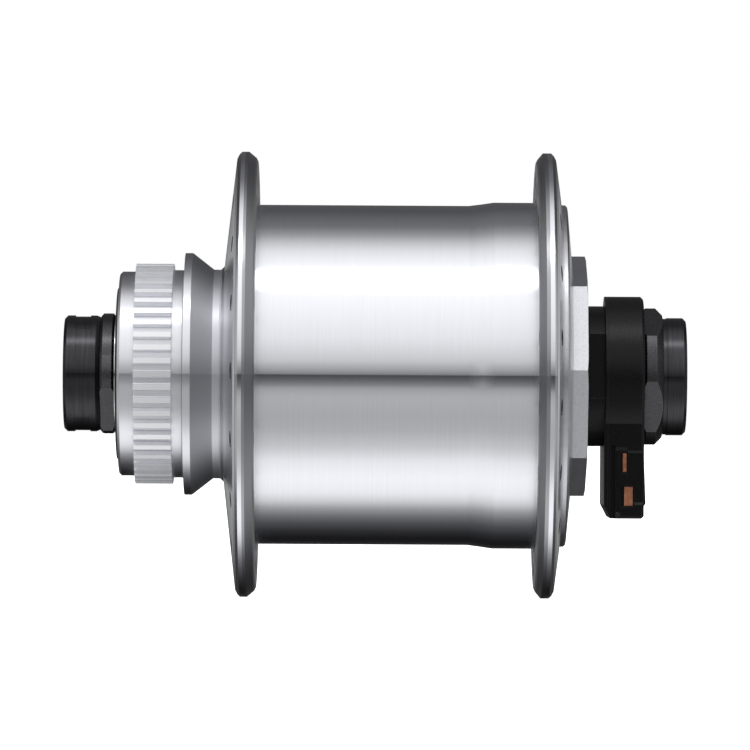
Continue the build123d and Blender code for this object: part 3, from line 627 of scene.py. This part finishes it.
def black_nut(name, colour, pale, across, angle, grain):
    """Blackened nut with a second shade on its flats, which are given by width and angle."""
    material, tree, shader = new_material(name)
    place, (x, _, z), _, marks = turning_marks(tree, *NUT_MARKS)
    speckle = noise(tree, place, *NUT_SPECKLE)
    reach = None
    for turn in (angle, angle + math.pi / 2):
        toward = product(tree, x, -math.cos(turn))
        toward = math_node(tree, "MULTIPLY_ADD", z, -math.sin(turn), toward)
        toward = math_node(tree, "ABSOLUTE", toward)
        reach = toward if reach is None else math_node(tree, "MAXIMUM", reach, toward)
    low, high = NUT_FLAT_EDGE
    milled = ranged(tree, reach, across / 2 - low, across / 2 - high, 0.0, 1.0)
    spots = ranged(tree, speckle, *NUT_TURNED_WINDOW, 0.0, 1.0)
    turned = tinted(tree, spots, colour, times(NUT_TURNED_LIGHT, colour))
    spots = ranged(tree, speckle, *NUT_FLAT_WINDOW, 0.0, 1.0)
    flat = tinted(tree, spots, times(NUT_FLAT_DARK, pale), pale)
    soft = edge_normal(tree, BLACK_EDGE)
    # Paler edges: a painted highlight
    shade = edges_painted_highlight(tree, mixed(tree, milled, turned, flat), soft, NUT_EDGE_HIGHLIGHT)
    tree.links.new(shade, shader.inputs["Base Color"])
    tree.links.new(ranged(tree, speckle, *NOISE_WINDOW, *NUT_ROUGHNESS), shader.inputs["Roughness"])
    shader.inputs["Metallic"].default_value = 1.0
    height = math_node(tree, "MULTIPLY_ADD", marks, NUT_MARK_SHARE, speckle)
    tree.links.new(bump(tree, height, NUT_GRAIN_DEPTH, grain, soft), shader.inputs["Normal"])
    return material


def winding_copper(colour):
    """Enamelled copper wire, wound in even turns, with painted shade in the grooves between them."""
    material, tree, shader = new_material("winding_copper")
    _, (_, y, _), _, marks = turning_marks(tree, *WINDING_MARKS)
    turns = math_node(tree, "ABSOLUTE", math_node(tree, "SINE", product(tree, y, math.pi / WIRE_PITCH)))
    crown = ranged(tree, turns, *WIRE_WINDOW, 0.0, 1.0)
    shade = tinted(tree, crown, times(WIRE_GROOVE_PAINTED_SHADE, colour), colour)
    tree.links.new(shade, shader.inputs["Base Color"])
    tree.links.new(ranged(tree, marks, *NOISE_WINDOW, *WINDING_ROUGHNESS), shader.inputs["Roughness"])
    shader.inputs["Metallic"].default_value = 1.0
    normal = bump(tree, turns, *WINDING_BUMP, edge_normal(tree, METAL_EDGE))
    tree.links.new(normal, shader.inputs["Normal"])
    return material


def contact_copper(colour):
    """Bare copper strip with the marks of its rolling and a little tarnish."""
    material, tree, shader = new_material("copper")
    place = object_place(tree)
    stretch = tree.nodes.new("ShaderNodeMapping")
    stretch.inputs["Scale"].default_value = STRIP_LINES
    tree.links.new(place, stretch.inputs["Vector"])
    lines = noise(tree, stretch.outputs[0], *MARK_NOISE)
    clean = ranged(tree, noise(tree, place, *TARNISH), *TARNISH_WINDOW, 0.0, 1.0)
    shade = tinted(tree, clean, times(TARNISH_SHARE, colour), colour)
    tree.links.new(shade, shader.inputs["Base Color"])
    tree.links.new(ranged(tree, lines, *NOISE_WINDOW, *STRIP_ROUGHNESS), shader.inputs["Roughness"])
    shader.inputs["Metallic"].default_value = 1.0
    normal = bump(tree, lines, *STRIP_BUMP, edge_normal(tree, STRIP_EDGE))
    tree.links.new(normal, shader.inputs["Normal"])
    return material


def bare_steel(name, colour, rough, fine):
    """Turned or ground steel."""
    material, tree, shader = new_material(name)
    _, _, _, marks = turning_marks(tree, fine, STEEL_AROUND)
    tree.links.new(tinted(tree, marks, times(STEEL_DARK, colour), colour), shader.inputs["Base Color"])
    low, high = STEEL_SPREAD
    dull = ranged(tree, marks, *NOISE_WINDOW, rough + low, rough + high)
    tree.links.new(dull, shader.inputs["Roughness"])
    shader.inputs["Metallic"].default_value = 1.0
    normal = bump(tree, marks, *STEEL_BUMP, edge_normal(tree, METAL_EDGE))
    tree.links.new(normal, shader.inputs["Normal"])
    return material


def moulded(name, colour, rough, grain_scale, grain_depth, edge, gloss=0.5, edge_highlight=1.2):
    """Moulded plastic or rubber with a fine eroded grain. Its edges turn paler, a painted highlight, to a
    share of its own red.
    """
    material, tree, shader = new_material(name)
    shader.inputs["Specular IOR Level"].default_value = gloss
    place = object_place(tree)
    grain = noise(tree, place, grain_scale, *MOULD_GRAIN)
    mix = blended(tree, grain, noise(tree, place, *MOULD_CLOUD), MOULD_GRAIN_SHARE)
    lighter = tuple(min(1.0, MOULD_LIGHT * part + MOULD_LIFT) for part in colour)
    soft = edge_normal(tree, edge)
    shade = tinted(tree, ranged(tree, grain, *MOULD_WINDOW, 0.0, 1.0), tuple(colour), lighter)
    tree.links.new(edges_painted_highlight(tree, shade, soft, edge_highlight * colour[0]), shader.inputs["Base Color"])
    dull = ranged(tree, mix, *NOISE_WINDOW, rough - MOULD_SPREAD, rough + MOULD_SPREAD)
    tree.links.new(dull, shader.inputs["Roughness"])
    normal = bump(tree, grain, grain_depth, MOULD_BUMP_STRENGTH, soft)
    tree.links.new(normal, shader.inputs["Normal"])
    return material


# Materials of the CAD nodes
class HUB_OT_finishes(bpy.types.Operator):
    """Give every CAD node its finish."""

    bl_idname = "hub.finishes"
    bl_label = "Finishes"

    def execute(self, context):
        settings = context.scene.hub_finishes
        silver, rough = tuple(settings.silver), settings.silver_roughness
        steel, flat = tuple(settings.steel_black), tuple(settings.steel_flat)
        copper = tuple(settings.copper)
        # The inner nut's darker colour is painted shade
        inner, bright = times(INNER_NUT_PAINTED_SHADE, steel), times(LEFT_NUT_SHARE, steel)
        made = {
            "silver_anodised": silver_anodised(silver, rough),
            "black_anodised": black_anodised(tuple(settings.black)),
            "black_steel": black_nut("black_steel", inner, inner, *INNER_NUT),
            "copper": contact_copper(copper),
            "connector_plastic": moulded("connector_plastic", settings.plastic, *CONNECTOR),
        }
        made.update((name, bare_steel(name, *look)) for name, look in STEELS.items())
        made.update((name, moulded(name, *look)) for name, look in MOULDINGS.items())
        own = {
            "shell_cover": silver_blasted(times(settings.cover_share, silver), rough + BLASTED_DULLER),
            "right_lock_nut": black_nut("lock_nut_steel", steel, flat, *LOCK_NUT),
            "left_lock_nut": black_nut("left_nut_steel", bright, bright, *LEFT_NUT),
            "coil_winding": winding_copper(copper),
        }
        for subpart in frame["record"]["subparts"]:
            name = subpart["node"]
            for slot in frame["nodes"][name].material_slots:
                slot.material = own.get(name, made[subpart["material_slot"]])
        return {"FINISHED"}


# Added pieces
def deselect():
    """Nothing selected, in object mode."""
    if bpy.context.object and bpy.context.object.mode != "OBJECT":
        bpy.ops.object.mode_set(mode="OBJECT")
    bpy.ops.object.select_all(action="DESELECT")


def profile(name, inner, outer, start, end, tip_share):
    """Outline of a section beside the axle, narrower on its inner side."""
    deselect()
    middle = Vector(((inner + outer) / 2, (start + end) / 2, 0))
    bpy.ops.mesh.primitive_plane_add(size=1.0, location=middle)
    piece = bpy.context.object
    piece.name = name
    bpy.ops.object.mode_set(mode="EDIT")
    bpy.ops.transform.resize(value=(outer - inner, end - start, 1), center_override=middle)
    bpy.ops.mesh.select_all(action="DESELECT")
    bpy.ops.object.mode_set(mode="OBJECT")
    for vertex in piece.data.vertices:
        vertex.select = vertex.co.x < 0
    bpy.ops.object.mode_set(mode="EDIT")
    bpy.ops.transform.resize(value=(1, tip_share, 1), center_override=middle)
    bpy.ops.mesh.select_all(action="SELECT")
    bpy.ops.mesh.delete(type="ONLY_FACE")
    bpy.ops.object.mode_set(mode="OBJECT")
    bpy.ops.object.transform_apply(location=True, rotation=True, scale=True)
    return piece


def turned_round(piece, turns, pitch):
    """Sweep the section round the axle, and close what stays open."""
    screw = piece.modifiers.new("turns", "SCREW")
    screw.axis = "Y"
    screw.steps = screw.render_steps = ROUND_STEPS
    screw.iterations = turns
    screw.screw_offset = pitch
    screw.use_merge_vertices = pitch == 0
    screw.merge_threshold = WELD
    bpy.ops.object.modifier_apply(modifier=screw.name)
    bpy.ops.object.mode_set(mode="EDIT")
    bpy.ops.mesh.select_all(action="SELECT")
    bpy.ops.mesh.remove_doubles(threshold=WELD)
    if pitch:
        bpy.ops.mesh.fill_holes(sides=END_SIDES)
        bpy.ops.mesh.select_all(action="SELECT")
    bpy.ops.mesh.normals_make_consistent(inside=False)
    bpy.ops.object.mode_set(mode="OBJECT")
    bpy.ops.object.shade_smooth_by_angle(angle=SMOOTH_ANGLE)


def finished(piece, material, body):
    """Give a piece its finish and the body that it rides on."""
    piece.data.materials.append(bpy.data.materials[material])
    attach(piece, body)


class HUB_OT_boss_thread(bpy.types.Operator):
    """Thread in the boss's mouth, for the ring that locks the brake disc."""

    bl_idname = "hub.boss_thread"
    bl_label = "Lock-ring thread"

    def execute(self, context):
        sizes = context.scene.hub_details
        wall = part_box("left_bearing_cup")[1].z + LOCK_LEDGE
        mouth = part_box("left_dust_cap")[1].y - BOSS_PROUD - sizes.thread_pitch
        half = THREAD_ROOT_HALF * sizes.thread_pitch
        end = mouth - sizes.thread_turns * sizes.thread_pitch
        tip = wall - sizes.thread_depth
        piece = profile("boss_thread", tip, wall + BURIED, end - half, end + half, THREAD_TIP_SHARE)
        turned_round(piece, sizes.thread_turns, sizes.thread_pitch)
        finished(piece, "silver_anodised", "rotor")
        return {"FINISHED"}


class HUB_OT_seal_lip(bpy.types.Operator):
    """Rubber lip between the disc side's dust cap and the bearing cone."""

    bl_idname = "hub.seal_lip"
    bl_label = "Seal lip"

    def execute(self, context):
        sizes = context.scene.hub_details
        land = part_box("left_bearing_cone")[1].z
        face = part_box("left_dust_cap")[1].y
        start = face - DUST_CAP_FACE
        piece = profile("left_seal_lip", land + LIP_GAP, land + SEAL_GAP, start, face, sizes.lip_share)
        turned_round(piece, 1, 0)
        finished(piece, "black_rubber", "rotor")
        return {"FINISHED"}


# Stage
def studio_ramp(tree, angle):
    """Light of the studio at an angle round the axle, scaled down to what a ramp holds."""
    ramp = tree.nodes.new("ShaderNodeValToRGB")
    tree.links.new(math_node(tree, "MULTIPLY_ADD", angle, 0.5 / math.pi, 0.5), ramp.inputs[0])
    elements = ramp.color_ramp.elements
    while len(elements) > 1:
        elements.remove(elements[-1])
    for index, (degrees, light) in enumerate(STUDIO):
        position = degrees / 360 + 0.5
        element = elements[0] if index == 0 else elements.new(position)
        element.position = position
        level = light * RAMP_SCALE
        element.color = (level, level, level * (COOL_BLUE if light < COOL_BELOW else 1.0), 1)
    return ramp.outputs[0]


def studio_light(strength):
    """Soft light that is even along the axle and changes round it, with white behind the hub."""
    world = bpy.data.worlds.new("studio")
    bpy.context.scene.world = world
    world.use_nodes = True
    tree = world.node_tree
    tree.nodes.clear()
    x, y, z = separate(tree, tree.nodes.new("ShaderNodeTexCoord").outputs["Generated"])
    angle = math_node(tree, "ARCTAN2", z, product(tree, x, -1.0))
    aside = math_node(tree, "ABSOLUTE", y)
    slope = math_node(tree, "MAXIMUM", aside, LEAST_ASIDE)
    slope = math_node(tree, "DIVIDE", math_node(tree, "ABSOLUTE", z), slope)
    off_key = math_node(tree, "ABSOLUTE", math_node(tree, "SUBTRACT", angle, KEY_ANGLE))
    key = product(
        tree,
        ranged(tree, off_key, 0.0, KEY_HALF, KEY_LIGHT, 0.0),
        ranged(tree, aside, *KEY_ASIDE, 1.0, 0.0),
    )
    share = ranged(tree, aside, *SIDE_ASIDE, 1.0, SIDE_SHARE)
    share = product(tree, share, math_node(tree, "ADD", key, 1.0))
    glow = product(
        tree,
        ranged(tree, aside, *GLOW_SIDE_ASIDE, GLOW_LIGHT, GLOW_SIDE_LIGHT),
        ranged(tree, slope, *GLOW_LOW_SLOPE, RAMP_SCALE, GLOW_LOW_SHARE * RAMP_SCALE),
    )
    back = product(
        tree,
        ranged(tree, aside, *GLOW_ASIDE, 0.0, 1.0),
        ranged(tree, x, *GLOW_BACK, 0.0, 1.0),
        ranged(tree, slope, *GLOW_SLOPE, 1.0, 0.0),
    )
    round_light = scaled(tree, studio_ramp(tree, angle), share)
    colour = mixed(tree, back, round_light, combine(tree, glow, glow, glow))
    lit = tree.nodes.new("ShaderNodeBackground")
    tree.links.new(colour, lit.inputs["Color"])
    lit.inputs["Strength"].default_value = strength / RAMP_SCALE
    white = tree.nodes.new("ShaderNodeBackground")
    white.inputs["Color"].default_value = (1, 1, 1, 1)
    white.inputs["Strength"].default_value = 1.0
    blend = tree.nodes.new("ShaderNodeMixShader")
    path = tree.nodes.new("ShaderNodeLightPath")
    tree.links.new(path.outputs["Is Camera Ray"], blend.inputs[0])
    tree.links.new(lit.outputs[0], blend.inputs[1])
    tree.links.new(white.outputs[0], blend.inputs[2])
    output = tree.nodes.new("ShaderNodeOutputWorld")
    tree.links.new(blend.outputs[0], output.inputs["Surface"])


def studio_floor(colour):
    """White floor just under the flanges, which nothing reflects or shades."""
    deselect()
    bpy.ops.mesh.primitive_plane_add(size=FLOOR_SIZE, location=(0, 0, 0))
    floor = bpy.context.object
    floor.name = "studio_floor"
    bpy.ops.object.mode_set(mode="EDIT")
    bpy.ops.mesh.subdivide(number_cuts=FLOOR_CUTS)
    bpy.ops.transform.translate(value=(0, 0, CAD_BOX[0].z - FLOOR_GAP))
    bpy.ops.object.mode_set(mode="OBJECT")
    material, tree, shader = new_material("floor_paper")
    cloud = noise(tree, object_place(tree), *FLOOR_CLOUD)
    tree.links.new(tinted(tree, cloud, times(FLOOR_DARK, colour), colour), shader.inputs["Base Color"])
    shader.inputs["Roughness"].default_value = FLOOR_ROUGHNESS
    shader.inputs["Specular IOR Level"].default_value = 0.0
    shader.inputs["Emission Color"].default_value = (1, 1, 1, 1)
    shader.inputs["Emission Strength"].default_value = FLOOR_GLOW
    floor.data.materials.append(material)
    floor.visible_glossy = False
    floor.visible_diffuse = False
    floor.visible_shadow = False


class HUB_OT_stage(bpy.types.Operator):
    """Make the floor, the light and the camera."""

    bl_idname = "hub.stage"
    bl_label = "Stage"

    def execute(self, context):
        settings = context.scene.hub_stage
        scene = context.scene
        scene.view_settings.view_transform = "Standard"
        studio_floor(tuple(settings.floor))
        studio_light(settings.light)
        data = bpy.data.cameras.new("photograph")
        data.sensor_width = SENSOR
        data.lens = SENSOR * settings.distance / settings.width
        data.clip_start = CLIP_START
        data.clip_end = CLIP_END
        camera = bpy.data.objects.new("photograph", data)
        scene.collection.objects.link(camera)
        lean, level = math.sin(settings.roll), math.cos(settings.roll)
        turn = Matrix(((0, 0, -1), (-level, lean, 0), (lean, level, 0)))
        camera.matrix_world = Matrix.Translation((-settings.distance, 0, 0)) @ turn.to_4x4()
        scene.camera = camera
        return {"FINISHED"}


OPERATORS = (HUB_OT_finishes, HUB_OT_boss_thread, HUB_OT_seal_lip, HUB_OT_stage)


class HUB_PT_panel(bpy.types.Panel):
    """Lists the steps that dress the hub, and what can be set."""

    bl_idname = "HUB_PT_panel"
    bl_label = "Generator hub"
    bl_space_type = "VIEW_3D"
    bl_region_type = "UI"
    bl_category = SIDEBAR

    def draw(self, context):
        layout = self.layout
        for group in (context.scene.hub_finishes, context.scene.hub_details, context.scene.hub_stage):
            box = layout.box()
            for name in group.bl_rna.properties.keys():
                if name not in ("rna_type", "name"):
                    box.prop(group, name)
        for operator in OPERATORS:
            layout.operator(operator.bl_idname)


CLASSES = (FinishSettings, DetailSettings, StageSettings, *OPERATORS, HUB_PT_panel)


def register():
    """Add the settings, the steps and the panel."""
    for item in CLASSES:
        bpy.utils.register_class(item)
    bpy.types.Scene.hub_finishes = PointerProperty(type=FinishSettings)
    bpy.types.Scene.hub_details = PointerProperty(type=DetailSettings)
    bpy.types.Scene.hub_stage = PointerProperty(type=StageSettings)


def unregister():
    """Take them away again."""
    del bpy.types.Scene.hub_stage
    del bpy.types.Scene.hub_details
    del bpy.types.Scene.hub_finishes
    for item in reversed(CLASSES):
        bpy.utils.unregister_class(item)


def main():
    """Dress the hub: add the settings and run the four steps."""
    register()
    bpy.ops.hub.finishes()
    bpy.ops.hub.boss_thread()
    bpy.ops.hub.seal_lip()
    bpy.ops.hub.stage()


if __name__ == "__main__":
    main()
